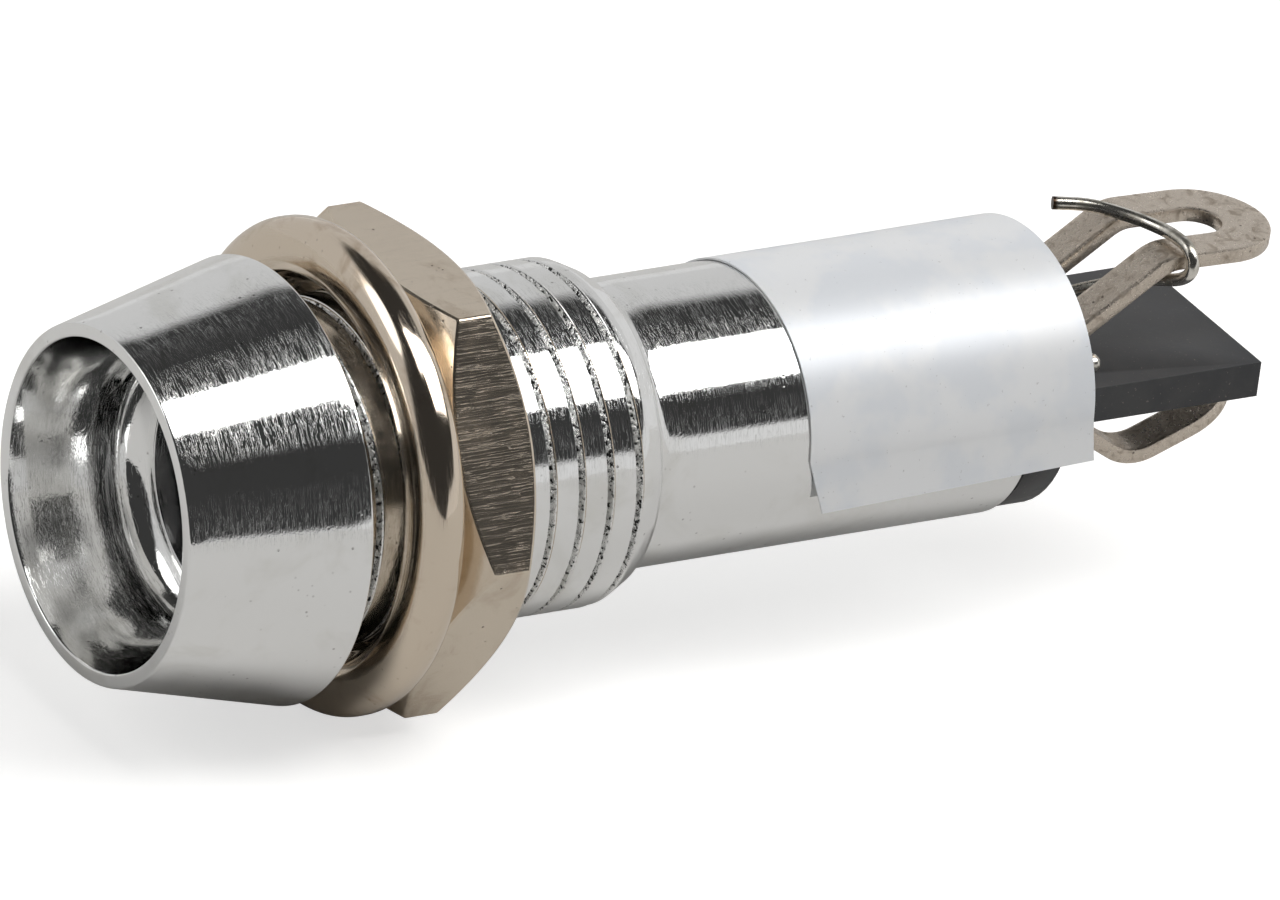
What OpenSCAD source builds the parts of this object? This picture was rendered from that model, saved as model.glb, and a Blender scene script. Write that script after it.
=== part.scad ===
// Panel pilot light with a recessed conical bezel, for an 8 mm panel hole.
//
// The lamp lies along Y: the bezel mouth faces -Y and the solder lugs point
// along +Y. Y = 0 is the seat, the flat back of the bezel that meets the
// panel. The dividing plate between the lugs is level, +Z up. Millimetres.

/* [Bezel] */
// outer diameter of the bezel at its mouth
mouth_d = 8.2; // [6:0.1:9.6]
// outer diameter of the bezel at the panel seat
seat_d = 10.15; // [9:0.05:13]
// length of the bezel in front of the panel
bezel_length = 4.22; // [3:0.01:8]
// width of the flat rim round the mouth
rim_width = 0.32; // [0.15:0.01:0.6]
// depth of the reflector from the mouth to the throat
bowl_depth = 3.06; // [2:0.01:3.6]
// radius of the reflector where its wall turns into the bowl
bowl_r = 3.36; // [3:0.01:3.7]

/* [Stem] */
// major diameter of the M8 x 0.75 thread
thread_d = 7.9; // [7.8:0.01:8]
// length of the full thread from the seat
thread_length = 7.75; // [5:0.05:12]
// diameter of the plain barrel behind the thread
barrel_d = 6.56; // [6.3:0.01:7]
// distance from the seat to the tail end of the barrel
barrel_end = 18.5; // [16:0.1:24]
// wall of the barrel
barrel_wall = 0.33; // [0.25:0.01:0.5]

/* [Washer and nut] */
// outer diameter of the domed washer
washer_d = 11.26; // [10.4:0.01:13]
// hole in the domed washer
washer_bore_d = 8.3; // [8.2:0.05:8.8]
// distance from the seat to the crown of the washer
washer_front = 1.02; // [0.7:0.01:1.2]
// how far the loose washer sits off the lamp's axis
washer_shift = 0.08; // [0:0.01:0.18]
// width of the nut across its flats
nut_flats = 10; // [9:0.1:12]
// thickness of the nut
nut_thickness = 2.05; // [1.5:0.05:3]
// distance from the seat to the front face of the nut
nut_front = 2.2; // [2.2:0.01:2.6]
// slope of the nut's front corner chamfers from its face
nut_chamfer = 32; // [20:1:40]
// slope of the nut's back corner chamfers from its face
nut_back_chamfer = 35; // [20:1:40]

/* [Label] */
// thickness of the foil label
foil = 0.05; // [0.03:0.01:0.1]
// how much of a turn the label covers, in degrees
label_turn = 265; // [180:1:340]
// distance from the seat to the front edge of the label
label_front = 12.22; // [10:0.01:14]
// width of the label along the barrel
label_width = 7.47; // [5:0.01:9]
// how far the label is stuck out of square, in degrees
label_skew = 3.4; // [0:0.1:6]
// length of the loose flap at the label's seam, front corner
flap_front = 1.32; // [0.3:0.01:2]
// length of the loose flap at the label's seam, tail corner
flap_tail = 1.07; // [0.3:0.01:2]
// how far the flap's front corner is cut back
flap_skew = 0.46; // [0:0.01:1]

/* [Terminals] */
// distance from the seat to the tail face of the plug collar
collar_end = 19.55; // [19:0.05:22]
// distance from the seat to the tail end of the dividing plate
plate_end = 24.77; // [23:0.01:28]
// width of the dividing plate
plate_width = 5.1; // [4:0.1:6]
// thickness of the dividing plate
plate_thickness = 0.86; // [0.6:0.01:1.2]
// outer width of a hairpin lug
lug_width = 3.1; // [2.6:0.05:3.4]
// width of the slot in a lug
lug_slot = 1.2; // [0.8:0.05:1.5]
// thickness of the lug metal
lug_metal = 0.35; // [0.25:0.01:0.5]
// diameter of the bare wires
wire_d = 0.3; // [0.2:0.01:0.4]

/* [Light source] */
// diameter of the lamp's clear dome
dome_d = 5; // [4.8:0.05:5.05]
// gap between the throat of the reflector and the tip of the dome
dome_recess = 0.2; // [0.05:0.05:0.6]

/* [Hidden] */

$fn = 96;

chrome = [0.82, 0.84, 0.86];
nickel = [0.80, 0.75, 0.68];
foil_silver = [0.86, 0.88, 0.90];
black_plastic = [0.22, 0.22, 0.23];
tinned = [0.90, 0.90, 0.86];
clear_epoxy = [0.80, 0.87, 0.95, 0.35];
solder_grey = [0.70, 0.71, 0.72];

mouth_y = -bezel_length;
throat_y = mouth_y + bowl_depth;
throat_r = dome_d / 2 + 0.05;
lip = 0.1;                      // bright raised lip round the throat
barrel_r = barrel_d / 2;
bore_r = barrel_r - barrel_wall;
thread_r = thread_d / 2;
thread_chamfer = [0.25, 0.5];   // radial and axial
run_gap = 0.03;                 // radial running gap of the nut on its thread

dome_r = dome_d / 2;
dome_tip = throat_y + dome_recess;
dome_length = 8.6;
flange_back = dome_tip + dome_length;
flange_height = 1;
flange_r = 2.9;
lead_pitch = 2.54;
lead_d = 0.45;
spacer_length = 1.5;

plug_front = 16;                // front end of the plug, inside the barrel
collar_r = 3.2;
lug_root = 17;                  // the lugs' legs end inside the plug
upper_root_z = 0.79;
lower_root_z = -0.7;
upper_lug_end = 24.41;          // centres of the lugs' round ends
lower_lug_end = 23.85;
wire_exit = [-0.3, 0.9];        // x, z of the hooked lead in the plug
return_exit = [1.82, 0.66];     // x, z of the cathode lead in the plug
return_tip = 20.85;

// The resistor lies beside the anode lead, its wire resting on it.
resistor_x = -lead_pitch / 2;
resistor_z = (lead_d + wire_d) / 2;
resistor_front = 11.2;
resistor_length = 3.5;
resistor_r = 0.9;
splice_y = [9.6, 10.6];

function arc(c, r, a0, a1, n) =
    [for (i = [0:n]) let (a = a0 + (a1 - a0) * i / n)
        [c[0] + r[0] * cos(a), c[1] + r[1] * sin(a)]];

// Centre line of a bent strip: each move is [length, turn], and each point
// that comes back is [y, z, heading].
function walk(moves, p = [0, 0], a = 0, i = 0) =
    i == len(moves) ? [[p[0], p[1], a]]
    : concat([[p[0], p[1], a]],
        walk(moves,
             p + moves[i][0] * [cos(a + moves[i][1] / 2),
                                sin(a + moves[i][1] / 2)],
             a + moves[i][1], i + 1));

function bend(r, turn, n = 8) =
    [for (i = [1:n]) [2 * r * sin(abs(turn) / n / 2), turn / n]];

function strip(path, t) = concat(
    [for (q = path) [q[0] - t / 2 * sin(q[2]), q[1] + t / 2 * cos(q[2])]],
    [for (i = [len(path) - 1:-1:0]) let (q = path[i])
        [q[0] + t / 2 * sin(q[2]), q[1] - t / 2 * cos(q[2])]]);

// Turns what is drawn round Z so that it runs along +Y.
module along_y(y = 0) translate([0, y, 0]) rotate([-90, 0, 0]) children();

// A turned piece whose outline is a list of [radius, y].
module turned(outline) along_y() rotate_extrude() polygon(outline);

function unit(v) = v / norm(v);

// Direction of a smooth curve at its point i.
function slope(p, i) = unit(p[min(i + 1, len(p) - 1)] - p[max(i - 1, 0)]);

// A smooth curve through the points, with n steps between each two.
function spline(p, n = 3) = concat(
    [for (i = [0:len(p) - 2], j = [0:n - 1])
        let (run = norm(p[i + 1] - p[i]), s = j / n, q = s * s * (3 - 2 * s))
        (1 - q) * p[i] + q * p[i + 1]
        + run * s * (1 - s) * ((1 - s) * slope(p, i) - s * slope(p, i + 1))],
    [p[len(p) - 1]]);

// Carries a normal along a run of tangents without twisting it.
function carry(tangents, normal, i = 0) = i == len(tangents) ? []
    : let (m = unit(normal - (normal * tangents[i]) * tangents[i]))
      concat([m], carry(tangents, m, i + 1));

// A round wire swept along a list of points.
module wire(points, d, sides = 12) {
    n = len(points);
    t = [for (i = [0:n - 1])
        unit(points[min(i + 1, n - 1)] - points[max(i - 1, 0)])];
    u = carry(t, [0, 0, 1]);
    polyhedron(
        [for (i = [0:n - 1], k = [0:sides - 1])
            points[i] + d / 2 * (cos(360 * k / sides) * u[i]
                                 + sin(360 * k / sides) * cross(t[i], u[i]))],
        concat(
            [[for (k = [0:sides - 1]) k]],
            [[for (k = [sides - 1:-1:0]) (n - 1) * sides + k]],
            [for (i = [0:n - 2], k = [0:sides - 1]) let (l = (k + 1) % sides)
                [i * sides + k, (i + 1) * sides + k,
                 (i + 1) * sides + l, i * sides + l]]),
        convexity = 4);
}

// Bezel, threaded stem and barrel, turned in one piece and bored from behind.
module housing() {
    rim_r = mouth_d / 2;
    inner_r = rim_r - rim_width;
    turn_y = mouth_y + 2.3;     // where the reflector's wall turns inwards
    color(chrome) turned(concat(
        [[inner_r, mouth_y], [rim_r, mouth_y],
         [seat_d / 2, -0.06], [seat_d / 2 - 0.06, 0], [thread_r, 0],
         [thread_r, thread_length],
         [thread_r - thread_chamfer[0], thread_length + thread_chamfer[1]]],
        arc([barrel_r + 0.34, thread_length + 1], [0.34, 0.4], 270, 180, 6),
        [[barrel_r, barrel_end - 0.15], [barrel_r - 0.15, barrel_end],
         [bore_r, barrel_end], [bore_r, flange_back - flange_height],
         [throat_r, flange_back - flange_height],
         [throat_r, throat_y], [throat_r + lip, throat_y],
         [throat_r + lip + 0.05, throat_y + lip]],
        arc([throat_r + lip + 0.05, turn_y],
            [bowl_r - throat_r - lip - 0.05, throat_y + lip - turn_y],
            90, 0, 10)));
}

// Domed washer: flat behind, round over its rim, dished round its hole.
module domed_washer() {
    r = washer_d / 2;
    hole_r = washer_bore_d / 2;
    back = nut_front - 0.03;
    crown_r = hole_r + 0.55;
    rim_y = washer_front + 0.58;
    color(nickel)
        translate([-washer_shift * sin(31), 0, washer_shift * cos(31)])
            turned(concat(
                [[hole_r, back], [hole_r, back - 0.45],
                 [hole_r + 0.32, washer_front + 0.12]],
                arc([crown_r, rim_y], [r - crown_r, rim_y - washer_front],
                    270, 360, 12),
                arc([r - 0.4, rim_y + 0.1], [0.4, back - rim_y - 0.1],
                    0, 90, 8)));
}

// Hexagon nut, chamfered on both faces.
module hex_nut() {
    front_r = nut_flats / 2 - 0.21;
    back_r = nut_flats / 2 - 0.05;
    reach = nut_flats;
    bore = thread_r + run_gap;
    back = nut_front + nut_thickness;
    color(nickel) difference() {
        intersection() {
            along_y(nut_front)
                cylinder(d = nut_flats / cos(30), h = nut_thickness, $fn = 6);
            turned([[0, nut_front], [front_r, nut_front],
                    [reach, nut_front + tan(nut_chamfer) * (reach - front_r)],
                    [reach, back - tan(nut_back_chamfer) * (reach - back_r)],
                    [back_r, back], [0, back]]);
        }
        along_y(nut_front - 1) cylinder(r = bore, h = nut_thickness + 2);
        along_y(nut_front - 0.01)
            cylinder(r1 = bore + 0.26, r2 = bore, h = 0.26);
        along_y(back - 0.25) cylinder(r1 = bore, r2 = bore + 0.26, h = 0.26);
    }
}

// Foil label stuck round most of the barrel, out of square, with one end
// standing off as a flap.
module label_wrap() {
    seam = 87;                  // the flap's root, turned from +Z towards +X
    skin = 0.005;
    bare = 360 - label_turn;
    root_front = label_front + tan(label_skew) * barrel_r;
    root_tail = root_front + label_width;
    color(foil_silver) {
        intersection() {
            along_y(label_front - 1) difference() {
                cylinder(r = barrel_r + foil, h = label_width + 2);
                translate([0, 0, -1]) cylinder(r = barrel_r, h = label_width + 4);
                translate([0, 0, -1]) linear_extrude(label_width + 4)
                    polygon([[0, 0],
                             for (i = [0:4]) 3 * barrel_r
                                 * [cos(seam - 90 + i * bare / 4),
                                    sin(seam - 90 + i * bare / 4)]]);
            }
            translate([0, label_front, 0]) rotate([0, 0, label_skew])
                translate([-2 * barrel_r, 0, -2 * barrel_r])
                    cube([4 * barrel_r, label_width * cos(label_skew),
                          4 * barrel_r]);
        }
        rotate([0, seam, 0])
            translate([0, 0, barrel_r + skin])
                linear_extrude(foil - 2 * skin)
                    polygon([[-0.02, root_front + 0.01],
                             [flap_front, root_front + flap_skew],
                             [flap_tail, root_tail + 0.1],
                             [-0.02, root_tail - 0.01]]);
    }
}

// The lamp's lead frame inside the clear body, with clearance for its pocket.
module frame_post(grow = 0) {
    translate([-lead_pitch / 2 - 0.25 - grow, 3.4 - grow, -0.25 - grow])
        cube([0.7 + 2 * grow, flange_back - 3.4 + grow + 0.3, 0.5 + 2 * grow]);
}

module frame_anvil(grow = 0) {
    translate([lead_pitch / 2 - 1.25 - grow, 3.2 - grow, -0.25 - grow])
        cube([1.6 + 2 * grow, 1.5 + 2 * grow, 0.5 + 2 * grow]);
    translate([lead_pitch / 2 - 0.25 - grow, 3.2 - grow, -0.25 - grow])
        cube([0.5 + 2 * grow, flange_back - 3.2 + grow + 0.3, 0.5 + 2 * grow]);
    translate([0.35, 0, 0]) along_y(2.7 - grow)
        cylinder(r = 0.55 + grow, h = 0.6 + 2 * grow, $fn = 32);
}

// Clear epoxy lamp body with a flange and one flat side.
module lamp_dome() {
    color(clear_epoxy) difference() {
        turned(concat(
            [[0, flange_back], [flange_r, flange_back],
             [flange_r, flange_back - flange_height],
             [dome_r, flange_back - flange_height]],
            arc([0, dome_tip + dome_r], [dome_r, dome_r], 360, 270, 12)));
        translate([dome_r, flange_back - flange_height - 1, -flange_r])
            cube([flange_r - dome_r + 1, flange_height + 2, 2 * flange_r]);
        frame_post();
        frame_anvil();
    }
}

module anode_lead() {
    color(tinned) {
        frame_post();
        translate([-lead_pitch / 2, 0, 0]) along_y(flange_back)
            cylinder(d = lead_d, h = splice_y[1] - flange_back, $fn = 32);
    }
}

// The lamp's longer lead runs back through the plug and shows on the plate.
module cathode_lead() {
    color(tinned) {
        difference() {
            frame_anvil();
            translate([0.35, 0, 0]) along_y(2.6)
                cylinder(r1 = 0.46, r2 = 0.2, h = 0.4, $fn = 32);
        }
        wire(spline([for (q = [[0, flange_back], [0, 14.4], [0, 14.5],
                               [0.5, 15.15], [1, 15.8], [1, 15.9],
                               [1, return_tip - 0.1]])
                     [lead_pitch / 2 + q[0] * (return_exit[0] - lead_pitch / 2),
                      q[1], q[0] * return_exit[1]]]), lead_d);
        translate([return_exit[0], 0, return_exit[1]])
            along_y(return_tip - 0.1)
                cylinder(r1 = lead_d / 2, r2 = lead_d / 3, h = 0.1, $fn = 12);
    }
}

// Black ring that holds the lamp against its shoulder and its leads apart.
module lead_spacer() {
    color(black_plastic) difference() {
        along_y(flange_back) cylinder(r = bore_r, h = spacer_length);
        for (side = [-1, 1]) {
            translate([side * lead_pitch / 2, 0, 0]) along_y(flange_back - 1)
                cylinder(d = lead_d + 0.1, h = spacer_length + 2, $fn = 24);
            translate([side * lead_pitch / 2 - 0.5, flange_back - 1, -0.3])
                cube([1, 1.35, 0.6]);
        }
    }
}

module cathode_sleeve() {
    length = 4.8;
    color(black_plastic)
        translate([lead_pitch / 2, 0, 0])
            along_y(flange_back + spacer_length + 0.1) difference() {
                cylinder(d = 0.95, h = length, $fn = 32);
                translate([0, 0, -1])
                    cylinder(d = lead_d + 0.04, h = length + 2, $fn = 32);
            }
}

module splice_solder() {
    color(solder_grey) difference() {
        translate([resistor_x, splice_y[0], resistor_z / 2])
            rotate([-90, 0, 0]) scale([1, 1.5, 1])
                cylinder(d = 0.62, h = splice_y[1] - splice_y[0] + 0.1, $fn = 32);
        anode_lead();
        resistor_front_lead();
    }
}

module resistor_front_lead() {
    color(tinned)
        translate([resistor_x, 0, resistor_z]) along_y(splice_y[0] - 0.15)
            cylinder(d = wire_d, h = resistor_front - splice_y[0] + 0.15,
                     $fn = 32);
}

// Small axial resistor, its ends swollen over the caps.
module resistor_body() {
    r = resistor_r;
    color([0.78, 0.68, 0.50])
        translate([resistor_x, resistor_front, resistor_z]) turned(concat(
            [[0, 0]], arc([r - 0.25, 0.25], [0.25, 0.25], 270, 360, 4),
            [[r, 0.8], [r - 0.12, 1.05], [r - 0.12, resistor_length - 1.05],
             [r, resistor_length - 0.8]],
            arc([r - 0.25, resistor_length - 0.25], [0.25, 0.25], 0, 90, 4),
            [[0, resistor_length]]));
}

// Resistor's rear lead: out through the plug, under the near leg of the upper
// lug, round its edge and back over its top, where it is cut off.
module hooked_lead() {
    out = collar_end;
    color(tinned)
        wire(spline([
            [resistor_x, resistor_front + resistor_length, resistor_z],
            [resistor_x, 14.8, resistor_z], [resistor_x, 14.95, resistor_z],
            [-0.8, 15.4, 0.64], [wire_exit[0], 15.85, wire_exit[1]],
            [wire_exit[0], 15.95, wire_exit[1]], [wire_exit[0], out, wire_exit[1]],
            [wire_exit[0], out + 0.2, wire_exit[1]], [-0.12, out + 1.5, 1.4],
            [0.5, out + 2.45, 1.86], [1.15, out + 3.05, 2.16],
            [1.6, out + 3.36, 2.34], [1.82, out + 3.48, 2.66],
            [1.6, out + 3.5, 3.02], [1.1, out + 3.48, 3.1],
            [0.5, out + 3.38, 3.08], [-0.3, out + 3.0, 3.07],
            [-0.98, out + 2.4, 3.08], [-1.32, out + 1.63, 3.09]]), wire_d);
}

// Hairpin blank seen from above: two legs and a round end, slotted between.
module lug_blank(end_y) {
    difference() {
        union() {
            translate([-lug_width / 2, lug_root])
                square([lug_width, end_y - lug_root]);
            translate([0, end_y]) circle(d = lug_width);
        }
        translate([-lug_slot / 2, lug_root - 1])
            square([lug_slot, end_y - lug_root + 0.8]);
        translate([0, end_y - 0.2]) circle(d = lug_slot);
    }
}

// A lug is the blank given the side profile of a bent strip.
module lug(profile, end_y) {
    intersection() {
        translate([0, 0, -10]) linear_extrude(20) lug_blank(end_y);
        rotate([90, 0, 90]) translate([0, 0, -5]) linear_extrude(10)
            polygon(strip(profile, lug_metal));
    }
}

upper_moves = concat([[2.55, 0]], bend(0.8, 34), [[2.9, 0]],
                     bend(0.9, -35.5), [[5, 0]]);
lower_moves = concat([[2.75, 0]], bend(0.8, -34), [[1.9, 0]],
                     bend(1.2, 55), [[5, 0]]);

module upper_lug()
    color(nickel) lug(walk(upper_moves, [lug_root, upper_root_z]),
                      upper_lug_end);

module lower_lug()
    color(nickel) lug(walk(lower_moves, [lug_root, lower_root_z]),
                      lower_lug_end);

// Plug, collar and dividing plate in one black moulding.
module terminal_plug() {
    slot_fit = 0.02;
    leg = (lug_width - lug_slot) / 2;
    color(black_plastic) difference() {
        union() {
            along_y(plug_front) cylinder(r = bore_r, h = barrel_end - plug_front);
            turned([[0, barrel_end], [collar_r, barrel_end],
                    [collar_r, collar_end - 0.12],
                    [collar_r - 0.12, collar_end], [0, collar_end]]);
            translate([-plate_width / 2, collar_end - 0.5, -plate_thickness / 2])
                cube([plate_width, plate_end - collar_end + 0.5, plate_thickness]);
        }
        for (side = [-1, 1], root_z = [upper_root_z, lower_root_z])
            translate([side * (lug_width - leg) / 2 - leg / 2 - slot_fit,
                       plug_front - 1,
                       root_z - lug_metal / 2 - slot_fit])
                cube([leg + 2 * slot_fit, collar_end - plug_front + 2,
                      lug_metal + 2 * slot_fit]);
        translate([wire_exit[0], 0, wire_exit[1]]) along_y(plug_front - 1)
            cylinder(d = wire_d + 0.04, h = collar_end - plug_front + 2, $fn = 24);
        translate([return_exit[0], 0, return_exit[1]]) along_y(plug_front - 1)
            cylinder(d = lead_d + 0.04, h = collar_end - plug_front + 2, $fn = 24);
    }
}

housing();
domed_washer();
hex_nut();
label_wrap();
lamp_dome();
anode_lead();
cathode_lead();
lead_spacer();
cathode_sleeve();
splice_solder();
resistor_front_lead();
resistor_body();
hooked_lead();
terminal_plug();
upper_lug();
lower_lug();
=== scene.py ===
"""A panel pilot light: chromed bezel and threaded stem, washer, nut and two solder lugs.

Every size in the dataclasses is in millimetres, in the frame of the CAD model. The
lamp's axis is Y, its panel seat is the plane Y = 0, the mouth looks along -Y and Z is
up. A turn round the lamp is an angle from +Z towards +X.
"""

import logging
import math
from dataclasses import dataclass, field
from enum import Enum
from typing import Any, ClassVar, Sequence

import bmesh
import bpy
from mathutils import Matrix, Vector, noise


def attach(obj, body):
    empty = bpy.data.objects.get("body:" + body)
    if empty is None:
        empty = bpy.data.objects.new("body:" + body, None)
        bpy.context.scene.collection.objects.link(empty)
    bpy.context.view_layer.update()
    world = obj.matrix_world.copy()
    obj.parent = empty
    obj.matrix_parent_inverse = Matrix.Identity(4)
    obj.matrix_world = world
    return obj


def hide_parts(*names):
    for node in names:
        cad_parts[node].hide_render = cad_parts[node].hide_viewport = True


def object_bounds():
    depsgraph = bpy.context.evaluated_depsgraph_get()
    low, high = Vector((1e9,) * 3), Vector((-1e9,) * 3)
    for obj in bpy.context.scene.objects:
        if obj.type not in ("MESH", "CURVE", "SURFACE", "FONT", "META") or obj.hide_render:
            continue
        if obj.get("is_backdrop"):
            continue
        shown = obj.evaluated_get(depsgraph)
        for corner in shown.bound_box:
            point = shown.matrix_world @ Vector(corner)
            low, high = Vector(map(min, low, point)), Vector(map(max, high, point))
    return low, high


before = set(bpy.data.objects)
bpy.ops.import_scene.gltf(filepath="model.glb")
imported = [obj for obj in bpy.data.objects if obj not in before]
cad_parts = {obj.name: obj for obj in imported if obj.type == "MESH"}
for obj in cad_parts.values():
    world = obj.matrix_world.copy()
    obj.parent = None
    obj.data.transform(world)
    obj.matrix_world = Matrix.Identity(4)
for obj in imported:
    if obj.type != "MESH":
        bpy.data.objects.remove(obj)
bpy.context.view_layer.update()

LOG = logging.getLogger("pilot_light")
MM = 0.001
FULL_TURN = 2 * math.pi

Pair = tuple[float, float]
Triple = tuple[float, float, float]
Bends = tuple[Triple, ...]
Colour = tuple[float, float, float, float]
Socket = bpy.types.NodeSocket
Material = bpy.types.Material


class Body(Enum):
    """The bodies of the CAD model that pieces ride on."""

    LAMP = "lamp"
    WASHER = "washer"
    NUT = "nut"


class Axis(Enum):
    """The way that grain runs on a finish."""

    AROUND = "around the lamp axis"
    ALONG = "along the lamp axis"
    NONE = "no grain"


# ---------------------------------------------------------------- node helpers


def tone(red: float, green: float, blue: float) -> Colour:
    """Turns a display colour into the linear colour that a shader takes.

    Args:
        red, green, blue: display values from 0 to 255.

    Returns:
        The linear colour with full alpha.
    """
    def linear(value: float) -> float:
        """One channel, by the sRGB curve."""
        v = value / 255
        return v / 12.92 if v <= 0.04045 else ((v + 0.055) / 1.055) ** 2.4

    return (linear(red), linear(green), linear(blue), 1.0)


class Graph:
    """Adds nodes to one node tree and joins them as they are added."""

    def __init__(self, tree: bpy.types.NodeTree) -> None:
        """Empties the tree and keeps it.

        Args:
            tree: the shader or geometry tree to fill.
        """
        self.tree = tree
        tree.nodes.clear()

    def add(self, kind: str, inputs: dict[Any, Any] | None = None,
            **settings: Any) -> bpy.types.Node:
        """Adds one node.

        Args:
            kind: the node's type name.
            inputs: values or sockets by input name or number.
            **settings: the node's own properties.

        Returns:
            The new node.
        """
        node = self.tree.nodes.new(kind)
        for name, value in settings.items():
            setattr(node, name, value)
        for key, value in (inputs or {}).items():
            if isinstance(value, Socket):
                self.tree.links.new(value, node.inputs[key])
            else:
                node.inputs[key].default_value = value
        return node

    def math(self, operation: str, *values: Any, clamp: bool = False) -> Socket:
        """One Math node.

        Args:
            operation: the node's operation.
            *values: numbers or sockets, in order.
            clamp: True to keep the result from 0 to 1.

        Returns:
            The result's socket.
        """
        return self.add("ShaderNodeMath", dict(enumerate(values)),
                        operation=operation, use_clamp=clamp).outputs[0]

    def ease(self, value: Any, low: float, high: float,
             start: float = 0.0, end: float = 1.0) -> Socket:
        """A smooth step between two values.

        Args:
            value: the number or socket that drives the step.
            low: where the step starts.
            high: where the step ends.
            start: the result below low.
            end: the result above high.

        Returns:
            The eased value's socket.
        """
        flip = low > high
        if flip:
            low, high, start, end = high, low, end, start
        node = self.add("ShaderNodeMapRange",
                        {"Value": value, "From Min": low, "From Max": high,
                         "To Min": start, "To Max": end},
                        interpolation_type="SMOOTHSTEP")
        return node.outputs["Result"]

    def window(self, value: Socket, edges: Sequence[float]) -> Socket:
        """A soft window over a length.

        Args:
            value: the length in metres.
            edges: where the window starts and is full, and where it leaves and ends,
                in millimetres.

        Returns:
            A socket that is 1 inside the window and 0 outside.
        """
        start, full, leave, end = (edge * MM for edge in edges)
        return self.math("MULTIPLY", self.ease(value, start, full),
                         self.ease(value, end, leave))

    def combine(self, x: Any, y: Any, z: Any) -> Socket:
        """Joins three numbers or sockets into a vector."""
        return self.add("ShaderNodeCombineXYZ", {0: x, 1: y, 2: z}).outputs[0]

    def split(self, vector: Socket) -> tuple[Socket, Socket, Socket]:
        """The three numbers of a vector."""
        out = self.add("ShaderNodeSeparateXYZ", {0: vector}).outputs
        return out[0], out[1], out[2]

    def vector(self, operation: str, *values: Any) -> Socket:
        """One Vector Math node.

        Args:
            operation: the node's operation.
            *values: vectors, numbers or sockets, in order.

        Returns:
            The vector result, or the number for LENGTH, DISTANCE and DOT_PRODUCT.
        """
        node = self.add("ShaderNodeVectorMath", operation=operation)
        for i, value in enumerate(values):
            place = 3 if operation == "SCALE" and i == 1 else i
            if isinstance(value, Socket):
                self.tree.links.new(value, node.inputs[place])
            else:
                node.inputs[place].default_value = value
        number = operation in ("LENGTH", "DISTANCE", "DOT_PRODUCT")
        return node.outputs["Value" if number else "Vector"]

    def noise(self, place: Socket, size: float, detail: float = 2.0,
              roughness: float = 0.5, distortion: float = 0.0) -> Socket:
        """Even noise with its middle at 0.5.

        Args:
            place: the coordinates, in metres.
            size: the size of one blotch, in millimetres.
            detail: how many finer layers it has.
            roughness: how strong the finer layers are.
            distortion: how far the pattern is stirred.

        Returns:
            The noise value's socket.
        """
        node = self.add("ShaderNodeTexNoise",
                        {"Vector": place, "Scale": 1 / (size * MM), "Detail": detail,
                         "Roughness": roughness, "Distortion": distortion})
        return node.outputs["Fac"]

    def spots(self, place: Socket, spacing: float) -> Socket:
        """How far the nearest of many scattered points is, in parts of their spacing.

        Args:
            place: the coordinates, in metres.
            spacing: the points' spacing, in millimetres.

        Returns:
            The distance's socket.
        """
        node = self.add("ShaderNodeTexVoronoi",
                        {"Vector": place, "Scale": 1 / (spacing * MM)})
        return node.outputs["Distance"]

    def mix(self, factor: Any, first: Any, second: Any) -> Socket:
        """Mixes two colours.

        Args:
            factor: how much of the second shows.
            first: the colour or socket at factor 0.
            second: the colour or socket at factor 1.

        Returns:
            The mixed colour's socket.
        """
        node = self.add("ShaderNodeMix", data_type="RGBA")
        for place, value in ((0, factor), (6, first), (7, second)):
            if isinstance(value, Socket):
                self.tree.links.new(value, node.inputs[place])
            else:
                node.inputs[place].default_value = value
        return node.outputs[2]

    def bump(self, height: Socket, distance: float,
             normal: Socket | None = None) -> Socket:
        """A bump of the given height.

        Args:
            height: the height map, from 0 to 1.
            distance: how high 1 stands, in millimetres.
            normal: a bump that this one adds to.

        Returns:
            The normal's socket.
        """
        inputs: dict[Any, Any] = {"Height": height, "Distance": distance * MM,
                                  "Strength": 1.0}
        if normal is not None:
            inputs["Normal"] = normal
        return self.add("ShaderNodeBump", inputs).outputs["Normal"]


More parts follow.
